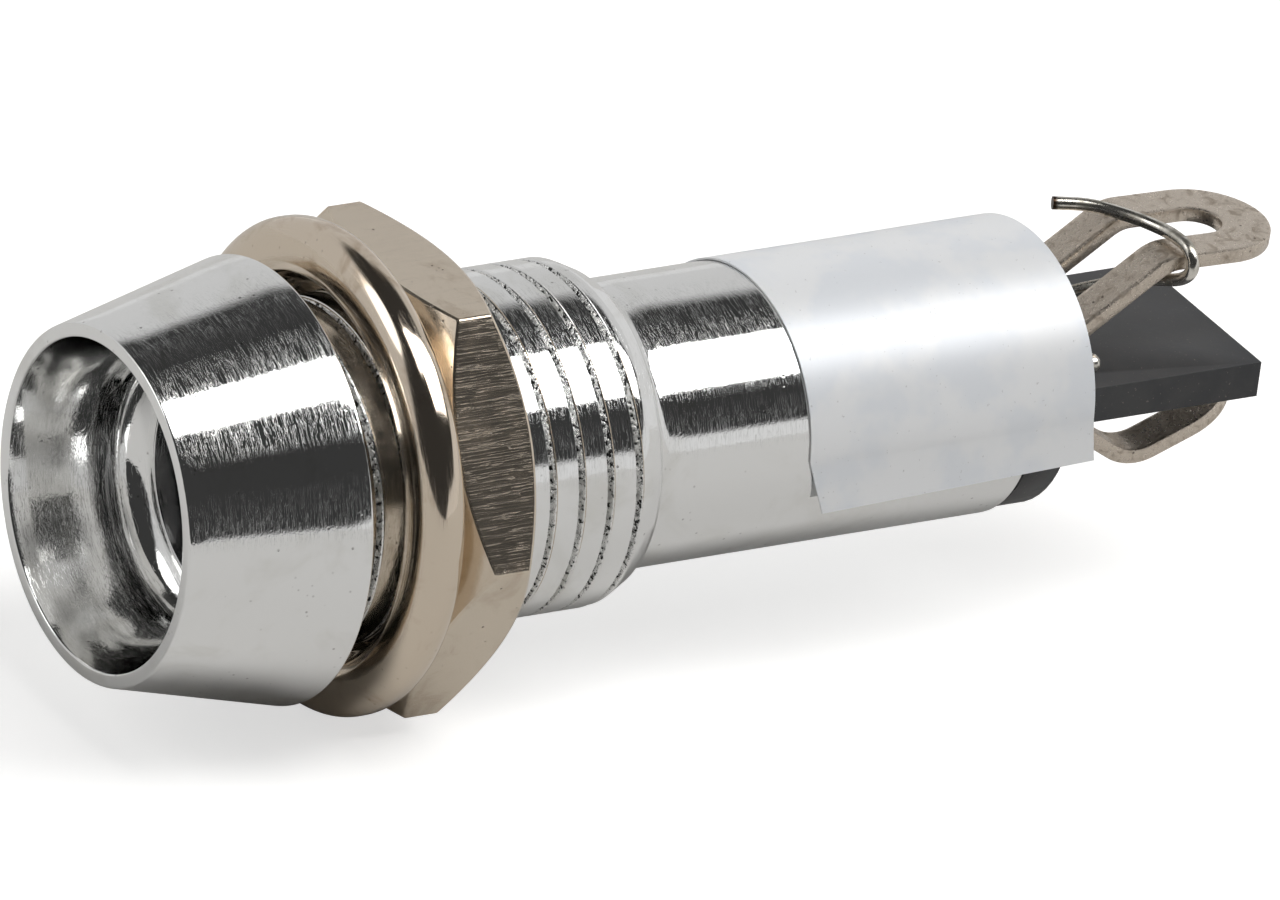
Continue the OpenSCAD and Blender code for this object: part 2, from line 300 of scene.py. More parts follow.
class Shader(Graph):
    """A material's graph with its Principled shader and the lamp's own coordinates."""

    def __init__(self, name: str) -> None:
        """Makes the material.

        Args:
            name: the material's name.
        """
        self.material = bpy.data.materials.new(name)
        self.material.use_nodes = True
        super().__init__(self.material.node_tree)
        self.surface = self.add("ShaderNodeBsdfPrincipled")
        out = self.add("ShaderNodeOutputMaterial")
        self.tree.links.new(self.surface.outputs[0], out.inputs[0])
        self.place = self.add("ShaderNodeTexCoord").outputs["Object"]
        self.x, self.y, self.z = self.split(self.place)

    def radius(self) -> Socket:
        """The distance from the lamp axis, in metres."""
        return self.vector("LENGTH", self.combine(self.x, 0.0, self.z))

    def grain(self, axis: Axis, stretch: float) -> Socket:
        """Coordinates in which even noise comes out drawn along the grain.

        Args:
            axis: the way that the grain runs.
            stretch: how many times longer than wide a mark is.

        Returns:
            The stretched coordinates.
        """
        if axis is Axis.AROUND:
            across = self.math("ADD", self.y, self.math("MULTIPLY", self.radius(), 1.3))
            return self.combine(self.math("DIVIDE", self.x, stretch), across,
                                self.math("DIVIDE", self.z, stretch))
        if axis is Axis.ALONG:
            return self.combine(self.x, self.math("DIVIDE", self.y, stretch), self.z)
        return self.place

    def set(self, **values: Any) -> None:
        """Sets Principled inputs, with underscores for the spaces in their names."""
        for name, value in values.items():
            socket = self.surface.inputs[name.replace("_", " ")]
            if isinstance(value, Socket):
                self.tree.links.new(value, socket)
            else:
                socket.default_value = value


# -------------------------------------------------------------------- finishes


@dataclass(frozen=True)
class Finish:
    """A finish that is built once and shared by its pieces."""

    name: str
    slot: str
    made: ClassVar[dict[str, Material]] = {}

    def material(self) -> Material:
        """The finish's material, built on first use."""
        if self.name not in Finish.made:
            shader = Shader(self.name)
            self.build(shader)
            Finish.made[self.name] = shader.material
        return Finish.made[self.name]

    def build(self, shader: Shader) -> None:
        """Fills the shader. Each finish has its own."""
        raise NotImplementedError


@dataclass(frozen=True)
class Plate(Finish):
    """Polished or satin plating with grain, pits and fine scratches.

    Attributes:
        bright, dull: the plate's colour where it is clean and where it is tarnished.
        gloss: the roughness of clean plate.
        wear: how much rougher the dull patches are.
        axis: the way that the polishing marks run.
        mark: the width of one polishing mark, in mm.
        stretch: how many times longer than wide a mark is.
        relief: the height of the marks, in mm.
        pits: how much of the surface small dark pits take.
        patch: the size of a tarnished patch, in mm.
        grooves: True where the thread's grooves get rougher plating, a bump and a painted
            shade (a dark speckle).
    """

    bright: Colour = tone(240, 240, 240)
    dull: Colour = tone(200, 200, 196)
    gloss: float = 0.05
    wear: float = 0.1
    axis: Axis = Axis.AROUND
    mark: float = 0.09
    stretch: float = 3.0
    relief: float = 0.0015
    pits: float = 0.3
    patch: float = 1.2
    grooves: bool = False

    PIT_SPACING: ClassVar[float] = 0.28
    PIT_CLUSTER: ClassVar[float] = 0.5
    PIT_DEPTH: ClassVar[float] = 0.004
    PIT_TONE: ClassVar[Colour] = tone(70, 58, 48)
    CRUMB: ClassVar[float] = 0.10
    CRUMB_DEPTH: ClassVar[float] = 0.05
    # colour of the painted shade that is speckled into the thread's grooves
    GROOVE_SHADE_TONE: ClassVar[Colour] = tone(60, 60, 60)
    GROOVE_RADII: ClassVar[tuple[float, ...]] = (3.68, 3.71, 3.90, 3.935)
    GROOVE_SPAN: ClassVar[tuple[float, ...]] = (0.0, 0.1, 7.7, 7.8)

    def build(self, shader: Shader) -> None:
        """Fills the shader.

        Args:
            shader: the material's graph.
        """
        g = shader
        grain = g.grain(self.axis, self.stretch)
        fine = g.noise(grain, self.mark, 3, 0.55)
        broad = g.noise(g.place, self.patch, 4, 0.6, 0.6)
        tarnish = g.ease(broad, 0.5, 0.72)
        spots = g.spots(g.place, self.PIT_SPACING)
        small = g.ease(g.noise(g.place, self.PIT_CLUSTER, 1), 0.5, 0.66)
        pit = g.math("MULTIPLY", g.ease(spots, 0.16, 0.06), small)
        pit = g.math("MULTIPLY", pit, self.pits, clamp=True)
        lines = g.noise(g.grain(self.axis, self.stretch * 14), self.mark * 0.7, 2, 0.6)
        scratch = g.ease(g.math("ABSOLUTE", g.math("SUBTRACT", lines, 0.5)), 0.012, 0.0)
        colour = g.mix(g.math("MULTIPLY", tarnish, 0.7), self.bright, self.dull)
        colour = g.mix(pit, colour, self.PIT_TONE)
        rough = g.math("ADD", self.gloss, g.math("MULTIPLY", tarnish, self.wear))
        rough = g.math("ADD", rough, g.math("MULTIPLY", fine, self.wear * 0.4))
        rough = g.math("ADD", rough, g.math("MULTIPLY", pit, 0.3))
        rough = g.math("ADD", rough, g.math("MULTIPLY", scratch, self.wear * 0.6))
        normal = g.bump(fine, self.relief)
        normal = g.bump(scratch, -self.relief * 0.35, normal)
        normal = g.bump(pit, -self.PIT_DEPTH, normal)
        if self.grooves:
            # mask of the thread's grooves: real roughness and bump, and painted shade
            rough_shaded_groove = g.math("MULTIPLY", g.window(g.radius(), self.GROOVE_RADII),
                          g.window(g.y, self.GROOVE_SPAN))
            crumb = g.noise(g.place, self.CRUMB, 2, 0.6)
            rough = g.math("ADD", rough, g.math("MULTIPLY", rough_shaded_groove, 0.22))
            # painted shade: a dark speckle laid in the thread's grooves, where shade falls
            dark = g.math("MULTIPLY", rough_shaded_groove, g.ease(crumb, 0.46, 0.40))
            colour = g.mix(dark, colour, self.GROOVE_SHADE_TONE)
            normal = g.bump(g.math("MULTIPLY", rough_shaded_groove, crumb), self.CRUMB_DEPTH, normal)
        g.set(Base_Color=colour, Metallic=1.0, Roughness=rough, Normal=normal)


@dataclass(frozen=True)
class Foil(Finish):
    """Silvery satin label foil with faint blue blotches and a few rub marks."""

    def build(self, shader: Shader) -> None:
        """Fills the shader.

        Args:
            shader: the material's graph.
        """
        g = shader
        fibre = g.noise(g.combine(g.math("DIVIDE", g.x, 1.5), g.y,
                                  g.math("DIVIDE", g.z, 1.5)), 0.12, 3, 0.6)
        broad = g.noise(g.place, 1.6, 3, 0.55)
        colour = g.mix(g.ease(broad, 0.42, 0.62), tone(236, 237, 238),
                       tone(228, 231, 235))
        speck = g.ease(g.noise(g.place, 0.10, 2), 0.70, 0.76)
        colour = g.mix(g.math("MULTIPLY", speck, 0.35), colour, tone(150, 148, 146))
        rough = g.math("ADD", 0.33, g.math("MULTIPLY", fibre, 0.12))
        normal = g.bump(fibre, 0.0008)
        normal = g.bump(broad, 0.002, normal)
        g.set(Base_Color=colour, Metallic=0.15, Roughness=rough, Normal=normal,
              Specular_IOR_Level=0.6)


@dataclass(frozen=True)
class Moulding(Finish):
    """Black moulded plastic, rubbed grey on its faces.

    Attributes:
        dark, rubbed: the plastic's two colours, mixed in broad random blotches.
    """

    dark: Colour = tone(38, 39, 42)
    rubbed: Colour = tone(50, 50, 51)

    def build(self, shader: Shader) -> None:
        """Fills the shader.

        Args:
            shader: the material's graph.
        """
        g = shader
        broad = g.noise(g.place, 1.1, 4, 0.6, 0.4)
        fine = g.noise(g.place, 0.09, 3, 0.6)
        colour = g.mix(g.ease(broad, 0.35, 0.65), self.dark, self.rubbed)
        dust = g.ease(g.noise(g.place, 0.07, 1), 0.70, 0.78)
        colour = g.mix(g.math("MULTIPLY", dust, 0.5), colour, tone(120, 112, 102))
        rough = g.math("ADD", 0.36, g.math("MULTIPLY", broad, 0.2))
        normal = g.bump(fine, 0.0012)
        normal = g.bump(broad, 0.006, normal)
        g.set(Base_Color=colour, Roughness=rough, Normal=normal)


@dataclass(frozen=True)
class Tinned(Finish):
    """Tin on wire or in a solder joint: bright, hammered by bending, brown where cut.

    Attributes:
        tin, grey: clean and oxidised tin.
        gloss: the roughness of clean tin.
        cut: the centre of a bare cut end, in mm, or None.
    """

    tin: Colour = tone(228, 224, 216)
    grey: Colour = tone(168, 164, 152)
    gloss: float = 0.18
    cut: Triple | None = None

    def build(self, shader: Shader) -> None:
        """Fills the shader.

        Args:
            shader: the material's graph.
        """
        g = shader
        broad = g.noise(g.place, 0.5, 3, 0.6)
        fine = g.noise(g.place, 0.06, 2, 0.6)
        dull = g.ease(broad, 0.45, 0.68)
        colour = g.mix(dull, self.tin, self.grey)
        rough = g.math("ADD", self.gloss, g.math("MULTIPLY", dull, 0.2))
        if self.cut:
            end = tuple(v * MM for v in self.cut)
            near = g.vector("DISTANCE", g.place, end)
            bare = g.ease(near, 0.20 * MM, 0.15 * MM)
            colour = g.mix(bare, colour, tone(66, 50, 38))
        normal = g.bump(fine, 0.0012)
        normal = g.bump(broad, 0.008, normal)
        g.set(Base_Color=colour, Metallic=1.0, Roughness=rough, Normal=normal)


@dataclass(frozen=True)
class Lens(Finish):
    """Clear epoxy of the indicator, smoky, with a few flow marks."""

    def build(self, shader: Shader) -> None:
        """Fills the shader.

        Args:
            shader: the material's graph.
        """
        g = shader
        flow = g.noise(g.place, 0.9, 2, 0.5)
        colour = g.mix(g.ease(flow, 0.4, 0.65), tone(150, 152, 158), tone(120, 116, 112))
        g.set(Base_Color=colour, Roughness=0.04, IOR=1.53, Transmission_Weight=0.9,
              Normal=g.bump(flow, 0.01))


@dataclass(frozen=True)
class Coat(Finish):
    """Baked coating of a small part, a little uneven.

    Attributes:
        colour, shade: the coat where it is thin and where it is thick.
        gloss: its roughness.
    """

    colour: Colour = tone(196, 170, 128)
    shade: Colour = tone(168, 140, 100)
    gloss: float = 0.35

    def build(self, shader: Shader) -> None:
        """Fills the shader.

        Args:
            shader: the material's graph.
        """
        g = shader
        broad = g.noise(g.place, 0.7, 3, 0.6)
        fine = g.noise(g.place, 0.08, 2)
        g.set(Base_Color=g.mix(g.ease(broad, 0.35, 0.65), self.colour, self.shade),
              Roughness=g.math("ADD", self.gloss, g.math("MULTIPLY", fine, 0.15)),
              Normal=g.bump(fine, 0.002))


# grooves=True paints a dark speckle of shade into the thread's grooves
CHROME = Plate("chrome", "chrome_plate", bright=tone(242, 242, 241),
               dull=tone(226, 225, 221), gloss=0.03, wear=0.04, patch=2.2,
               stretch=1.2, mark=0.06, relief=0.0014, pits=0.5, grooves=True)
WASHER_NICKEL = Plate("washer nickel", "washer_nickel", bright=tone(222, 208, 190),
                      dull=tone(186, 166, 142), gloss=0.06, wear=0.08,
                      stretch=8, mark=0.06, relief=0.0007, pits=0.3)
NUT_NICKEL = Plate("nut nickel", "nut_nickel", bright=tone(220, 207, 189),
                   dull=tone(198, 182, 162), gloss=0.17, wear=0.07, axis=Axis.ALONG,
                   stretch=5, mark=0.07, relief=0.0013, pits=0.9)
LUG_NICKEL = Plate("lug nickel", "lug_nickel", bright=tone(216, 204, 190),
                   dull=tone(150, 134, 116), gloss=0.24, wear=0.2, axis=Axis.NONE,
                   mark=0.08, relief=0.009, pits=0.8, patch=0.3)
FOIL = Foil("label foil", "foil_label")
BLACK = Moulding("black moulding", "black_plastic")
TIN_WIRE = Tinned("hooked lead", "tinned_lead", cut=(-1.32, 21.18, 3.09))
TIN_LEAD = Tinned("tinned lead", "tinned_lead")
SOLDER = Tinned("solder", "solder", tin=tone(232, 230, 226), gloss=0.12)
EPOXY = Lens("clear epoxy", "clear_epoxy")
RESISTOR = Coat("resistor coat", "resistor_coat")


# ---------------------------------------------------------------- mesh helpers


def ring_point(radius: float, along: float, turn: float) -> Vector:
    """A point round the lamp axis.

    Args:
        radius: its distance from the axis, in mm.
        along: its place on the axis, in mm.
        turn: its angle from +Z towards +X, in radians.

    Returns:
        The point in metres.
    """
    return Vector((radius * math.sin(turn), along, radius * math.cos(turn))) * MM


def arc(centre: Pair, radii: Pair, start: float, end: float, steps: int) -> list[Pair]:
    """Points on an elliptic arc in the plane of radius and length.

    Args:
        centre: the arc's centre.
        radii: its half-sizes.
        start, end: its angles in degrees.
        steps: how many spans it has.

    Returns:
        The points, ends included.
    """
    angles = [math.radians(start + (end - start) * i / steps) for i in range(steps + 1)]
    return [(centre[0] + radii[0] * math.cos(a), centre[1] + radii[1] * math.sin(a))
            for a in angles]


def refine(profile: Sequence[Pair], longest: float) -> list[Pair]:
    """Splits the long spans of a profile.

    Args:
        profile: its corners.
        longest: the longest span that is left, in mm.

    Returns:
        The finer profile.
    """
    points = [profile[0]]
    for a, b in zip(profile, profile[1:]):
        count = max(1, math.ceil(math.dist(a, b) / longest))
        points += [(a[0] + (b[0] - a[0]) * i / count, a[1] + (b[1] - a[1]) * i / count)
                   for i in range(1, count + 1)]
    return points


def round_corners(profile: Sequence[Pair], size: float, steps: int = 3) -> list[Pair]:
    """Rounds the sharp corners of an open profile.

    Args:
        profile: its corners.
        size: how far along each span the rounding starts, in mm.
        steps: how many spans each rounding has.

    Returns:
        The profile with its corners rounded.
    """
    points = [profile[0]]
    for a, b, c in zip(profile, profile[1:], profile[2:]):
        before, after = math.dist(a, b), math.dist(b, c)
        turn = abs(math.remainder(math.atan2(c[1] - b[1], c[0] - b[0])
                                  - math.atan2(b[1] - a[1], b[0] - a[0]), FULL_TURN))
        cut = min(size, before * 0.45, after * 0.45)
        if turn < math.radians(25):
            points.append(b)
            continue
        p = tuple(b[k] + (a[k] - b[k]) * cut / before for k in (0, 1))
        q = tuple(b[k] + (c[k] - b[k]) * cut / after for k in (0, 1))
        for i in range(steps + 1):
            t = i / steps
            points.append(tuple((1 - t) ** 2 * p[k] + 2 * t * (1 - t) * b[k]
                                + t * t * q[k] for k in (0, 1)))
    points.append(profile[-1])
    return points


def lathe(profile: Sequence[Pair], steps: int, closed: bool = False) -> bmesh.types.BMesh:
    """Turns a profile of (radius, length) points round the lamp axis.

    Args:
        profile: the points, in mm.
        steps: how many spans go round.
        closed: True where the last point joins the first.

    Returns:
        The turned mesh, in metres.
    """
    bm = bmesh.new()
    rows = []
    for radius, along in profile:
        if radius < 1e-9:
            rows.append([bm.verts.new(ring_point(0, along, 0))] * steps)
        else:
            rows.append([bm.verts.new(ring_point(radius, along, FULL_TURN * i / steps))
                         for i in range(steps)])
    pairs = list(zip(rows, rows[1:])) + ([(rows[-1], rows[0])] if closed else [])
    for low, high in pairs:
        for i in range(steps):
            j = (i + 1) % steps
            corners = list(dict.fromkeys((low[i], low[j], high[j], high[i])))
            if len(corners) > 2:
                bm.faces.new(corners)
    return bm


def finish_mesh(name: str, bm: bmesh.types.BMesh, finish: Finish,
                sharp: float = 35.0) -> bpy.types.Object:
    """Makes an object of a mesh, with its doubles merged and its faces outwards.

    Args:
        name: the piece's name.
        bm: the mesh, which is used up.
        finish: the finish to dress it with.
        sharp: edges that turn by more than this many degrees stay sharp.

    Returns:
        The new object, at the origin.
    """
    bmesh.ops.remove_doubles(bm, verts=bm.verts, dist=1e-8)
    bmesh.ops.recalc_face_normals(bm, faces=bm.faces)
    mesh = bpy.data.meshes.new(name)
    bm.to_mesh(mesh)
    bm.free()
    mesh.materials.append(finish.material())
    mesh.shade_smooth()
    mesh.set_sharp_from_angle(angle=math.radians(sharp))
    piece = bpy.data.objects.new(name, mesh)
    bpy.context.scene.collection.objects.link(piece)
    return piece


def face_outwards(mesh: bpy.types.Mesh) -> None:
    """Turns a closed mesh's faces outwards."""
    bm = bmesh.new()
    bm.from_mesh(mesh)
    bmesh.ops.recalc_face_normals(bm, faces=bm.faces)
    bm.to_mesh(mesh)
    bm.free()


def settle(piece: bpy.types.Object, sharp: float = 35.0) -> bpy.types.Object:
    """Turns a piece and its live modifiers into a plain mesh.

    Args:
        piece: the object with modifiers.
        sharp: the angle in degrees past which edges are sharp.

    Returns:
        A new object of the same name with a plain mesh.
    """
    name = piece.name
    bpy.context.view_layer.update()
    solid = piece.evaluated_get(bpy.context.evaluated_depsgraph_get())
    mesh = bpy.data.meshes.new_from_object(solid)
    piece.modifiers.clear()
    bpy.data.objects.remove(piece, do_unlink=True)
    mesh.name = name
    mesh.shade_smooth()
    mesh.set_sharp_from_angle(angle=math.radians(sharp))
    made = bpy.data.objects.new(name, mesh)
    bpy.context.scene.collection.objects.link(made)
    return made


def thicken(piece: bpy.types.Object, thickness: float, offset: float) -> None:
    """Gives a sheet its wall.

    Args:
        piece: the sheet.
        thickness: the wall's thickness, in mm.
        offset: 1 to grow outwards, 0 to grow both ways.
    """
    wall = piece.modifiers.new("thickness", "SOLIDIFY")
    wall.thickness, wall.offset = thickness * MM, offset


def soften(piece: bpy.types.Object, width: float, segments: int, angle: float) -> None:
    """Rounds a piece's edges.

    Args:
        piece: the piece.
        width: the width of the rounding, in mm.
        segments: its spans.
        angle: only edges that turn by more than this many degrees are rounded.
    """
    edge = piece.modifiers.new("edge", "BEVEL")
    edge.width, edge.segments = width * MM, segments
    edge.limit_method, edge.angle_limit = "ANGLE", math.radians(angle)


def strip_faces(bm: bmesh.types.BMesh, rows: Sequence[Sequence[Vector]]) -> None:
    """Fills a grid of points with faces, row by row.

    Args:
        bm: the mesh to fill.
        rows: the rows of points, all of the same length.
    """
    verts = [[bm.verts.new(point) for point in row] for row in rows]
    for a, b in zip(verts, verts[1:]):
        for j in range(len(a) - 1):
            bm.faces.new((a[j], a[j + 1], b[j + 1], b[j]))


def hand_over(piece: bpy.types.Object, body: Body, node: str) -> None:
    """Puts a piece on the body that it rides on and hides the CAD node that it stands for.

    Args:
        piece: the finished piece.
        body: the body that it rides on.
        node: the CAD node that it stands for.
    """
    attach(piece, body.value)
    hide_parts(node)
    LOG.info("%s: %d faces on %s", piece.name, len(piece.data.polygons), body.value)


def dress(node: str, finish: Finish) -> None:
    """Gives a CAD node that stays its finish.

    Args:
        node: the node's name.
        finish: the finish to show.
    """
    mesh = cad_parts[node].data
    mesh.materials.clear()
    mesh.materials.append(finish.material())
    LOG.info("%s: dressed as %s", node, finish.name)


# ------------------------------------------------------- geometry node builders


class Tool(Graph):
    """A Geometry Nodes tree with named inputs, run once on a piece."""

    def __init__(self, name: str, inputs: dict[str, float | int | Material]) -> None:
        """Starts the tree.

        Args:
            name: the tree's name.
            inputs: the named inputs and their values.
        """
        super().__init__(bpy.data.node_groups.new(name, "GeometryNodeTree"))
        self.values = inputs
        face = self.tree.interface
        face.new_socket(name="Geometry", in_out="INPUT", socket_type="NodeSocketGeometry")
        for key, value in inputs.items():
            kind = ("Material" if isinstance(value, Material)
                    else "Int" if isinstance(value, int) else "Float")
            face.new_socket(name=key, in_out="INPUT", socket_type=f"NodeSocket{kind}")
        face.new_socket(name="Geometry", in_out="OUTPUT",
                        socket_type="NodeSocketGeometry")
        self.given = self.add("NodeGroupInput").outputs

    def end(self, geometry: Socket) -> None:
        """Closes the tree with Realize Instances and Set Material.

        Args:
            geometry: the shape that the tree has made.
        """
        real = self.add("GeometryNodeRealizeInstances", {"Geometry": geometry})
        dressed = self.add("GeometryNodeSetMaterial",
                           {"Geometry": real.outputs[0],
                            "Material": self.given["Finish"]})
        self.add("NodeGroupOutput", {"Geometry": dressed.outputs[0]})

    def run(self, piece: bpy.types.Object, sharp: float) -> bpy.types.Object:
        """Runs the tree on a piece and keeps the result as a plain mesh.

        Args:
            piece: the object that the tree works on.
            sharp: the angle in degrees past which edges are sharp.

        Returns:
            The finished object.
        """
        modifier = piece.modifiers.new(self.tree.name, "NODES")
        modifier.node_group = self.tree
        for item in self.tree.interface.items_tree:
            if item.in_out == "INPUT" and item.name in self.values:
                modifier[item.identifier] = self.values[item.name]
        return settle(piece, sharp)


@dataclass
class Thread:
    """A right-hand thread rolled on a stem.

    Attributes:
        crest: the radius over the crests.
        end_radius: the radius at the run-out's end.
        length: from the seat to the run-out's end.
        runout: the length of the chamfer at the end.
        pitch: from groove to groove.
        land: the share of the pitch that is flat crest.
        depth: the depth of the groove.
        columns: the spans round the stem.
        rows: the spans in one pitch.
        land_rows: how many of those lie on the crest.
    """

    crest: float = 3.95
    end_radius: float = 3.70
    length: float = 8.25
    runout: float = 0.5
    pitch: float = 0.75
    land: float = 0.72
    depth: float = 0.20
    columns: int = 256
    rows: int = 11
    land_rows: int = 4

    FADE: ClassVar[Pair] = (0.05, 0.5)
    WELD: ClassVar[float] = 0.0006

    def tool(self, finish: Finish) -> Tool:
        """The tree that adds the thread to the open shell of the housing.

        Args:
            finish: the finish of the whole shell.

        Returns:
            The tree, ready to run.
        """
        rows = round(self.length / self.pitch + 1) * self.rows
        g = Tool("Rolled thread", {
            "Crest radius": self.crest * MM, "Groove depth": self.depth * MM,
            "Pitch": self.pitch * MM, "Length": self.length * MM,
            "Run-out": self.runout * MM, "End radius": self.end_radius * MM,
            "Crest share": self.land, "Rows": rows, "Rows in a pitch": self.rows,
            "Rows on the crest": self.land_rows, "Columns": self.columns,
            "Finish": finish.material()})
        own = g.given
        grid = g.add("GeometryNodeMeshGrid", {
            "Size X": 1.0, "Size Y": 1.0,
            "Vertices X": g.math("ADD", own["Columns"], 1.0),
            "Vertices Y": g.math("ADD", own["Rows"], 1.0)})
        u, v, _ = g.split(g.add("GeometryNodeInputPosition").outputs[0])
        turn = g.math("ADD", u, 0.5)
        row = g.math("ROUND", g.math("MULTIPLY", g.math("ADD", v, 0.5), own["Rows"]))
        pitches = g.math("DIVIDE", row, own["Rows in a pitch"])
        whole = g.math("FLOOR", g.math("ADD", pitches, 0.001))
        part = g.math("SUBTRACT", pitches, whole)
        split = g.math("DIVIDE", own["Rows on the crest"], own["Rows in a pitch"])
        on_land = g.math("MINIMUM", g.math("DIVIDE", part, split), 1.0)
        in_groove = g.math("DIVIDE", g.math("SUBTRACT", part, split),
                           g.math("SUBTRACT", 1.0, split), clamp=True)
        phase = g.math("ADD", g.math("MULTIPLY", on_land, own["Crest share"]),
                       g.math("MULTIPLY", in_groove,
                              g.math("SUBTRACT", 1.0, own["Crest share"])))
        helix = g.math("ADD", g.math("SUBTRACT", g.math("ADD", whole, phase), 1.0), turn)
        along = g.math("MAXIMUM", g.math("MULTIPLY", helix, own["Pitch"]), 0.0)
        along = g.math("MINIMUM", along, own["Length"])
        fold = g.math("SUBTRACT", 1.0, g.math("ABSOLUTE", g.math(
            "SUBTRACT", g.math("MULTIPLY", in_groove, 2.0), 1.0)))
        cut = g.math("MULTIPLY", g.ease(fold, 0.0, 1.0), own["Groove depth"])
        cut = g.math("MULTIPLY", cut, g.ease(along, *(edge * MM for edge in self.FADE)))
        slope = g.math("DIVIDE", g.math("SUBTRACT", own["Crest radius"],
                                        own["End radius"]), own["Run-out"])
        runout = g.math("SUBTRACT", own["Length"], own["Run-out"])
        past = g.math("SUBTRACT", along, runout)
        cone = g.math("SUBTRACT", own["Crest radius"], g.math("MULTIPLY", slope, past))
        radius = g.math("MINIMUM", g.math("SUBTRACT", own["Crest radius"], cut), cone)
        angle = g.math("MULTIPLY", turn, FULL_TURN)
        place = g.combine(g.math("MULTIPLY", radius, g.math("SINE", angle)), along,
                          g.math("MULTIPLY", radius, g.math("COSINE", angle)))
        rolled = g.add("GeometryNodeSetPosition",
                       {"Geometry": grid.outputs["Mesh"], "Position": place})
        joined = g.add("GeometryNodeJoinGeometry")
        g.tree.links.new(own["Geometry"], joined.inputs[0])
        g.tree.links.new(rolled.outputs[0], joined.inputs[0])
        merged = g.add("GeometryNodeMergeByDistance",
                       {"Geometry": joined.outputs[0], "Distance": self.WELD * MM})
        g.end(merged.outputs[0])
        return g


def sweep(name: str, path: Sequence[Vector], radius: float, finish: Finish,
          relief: float = 0.004, sides: int = 24) -> bpy.types.Object:
    """Sweeps a round wire along a path, a little uneven as bent wire is.

    Args:
        name: the piece's name.
        path: the points that it follows, in metres.
        radius: the wire's radius, in mm.
        finish: its finish.
        relief: how far its skin is out of round, in mm.
        sides: the spans round the wire.

    Returns:
        The swept piece.
    """
    g = Tool("Swept wire", {"Radius": radius * MM, "Step": 0.06 * MM, "Sides": sides,
                            "Relief": relief * MM, "Finish": finish.material()})
    own = g.given
    curve = g.add("GeometryNodeMeshToCurve", {"Mesh": own["Geometry"]})
    even = g.add("GeometryNodeResampleCurve",
                 {"Curve": curve.outputs[0], "Length": own["Step"]}, mode="LENGTH")
    circle = g.add("GeometryNodeCurvePrimitiveCircle",
                   {"Resolution": own["Sides"], "Radius": own["Radius"]})
    tube = g.add("GeometryNodeCurveToMesh", {"Curve": even.outputs[0],
                                             "Profile Curve": circle.outputs[0],
                                             "Fill Caps": True})
    place = g.add("GeometryNodeInputPosition").outputs[0]
    normal = g.add("GeometryNodeInputNormal").outputs[0]
    lift = g.math("MULTIPLY", g.math("SUBTRACT", g.noise(place, 0.35, 1), 0.5),
                  own["Relief"])
    moved = g.add("GeometryNodeSetPosition",
                  {"Geometry": tube.outputs[0],
                   "Offset": g.vector("SCALE", normal, lift)})
    g.end(moved.outputs[0])
    bm = bmesh.new()
    verts = [bm.verts.new(p) for p in path]
    for a, b in zip(verts, verts[1:]):
        bm.edges.new((a, b))
    return g.run(finish_mesh(name, bm, finish), 50)


def smooth_path(points: Sequence[Triple],
                steps: int = 8) -> list[Vector]:
    """A smooth line through points, with the same rule as the CAD wires.

    Args:
        points: the points in mm.
        steps: how many spans each run between points gets.

    Returns:
        The line's points in metres.
    """
    given = [Vector(p) for p in points]
    last = len(given) - 1
    heads = [(given[min(i + 1, last)] - given[max(i - 1, 0)]).normalized()
             for i in range(last + 1)]
    line = [given[0]]
    for i in range(last):
        a, b = given[i], given[i + 1]
        run = (b - a).length
        for k in range(1, steps + 1):
            t = k / steps
            line.append(a * (2 * t**3 - 3 * t**2 + 1)
                        + heads[i] * run * (t**3 - 2 * t**2 + t)
                        + b * (3 * t**2 - 2 * t**3)
                        + heads[i + 1] * run * (t**3 - t**2))
    return [p * MM for p in line]


# ---------------------------------------------------------------- sub-assemblies


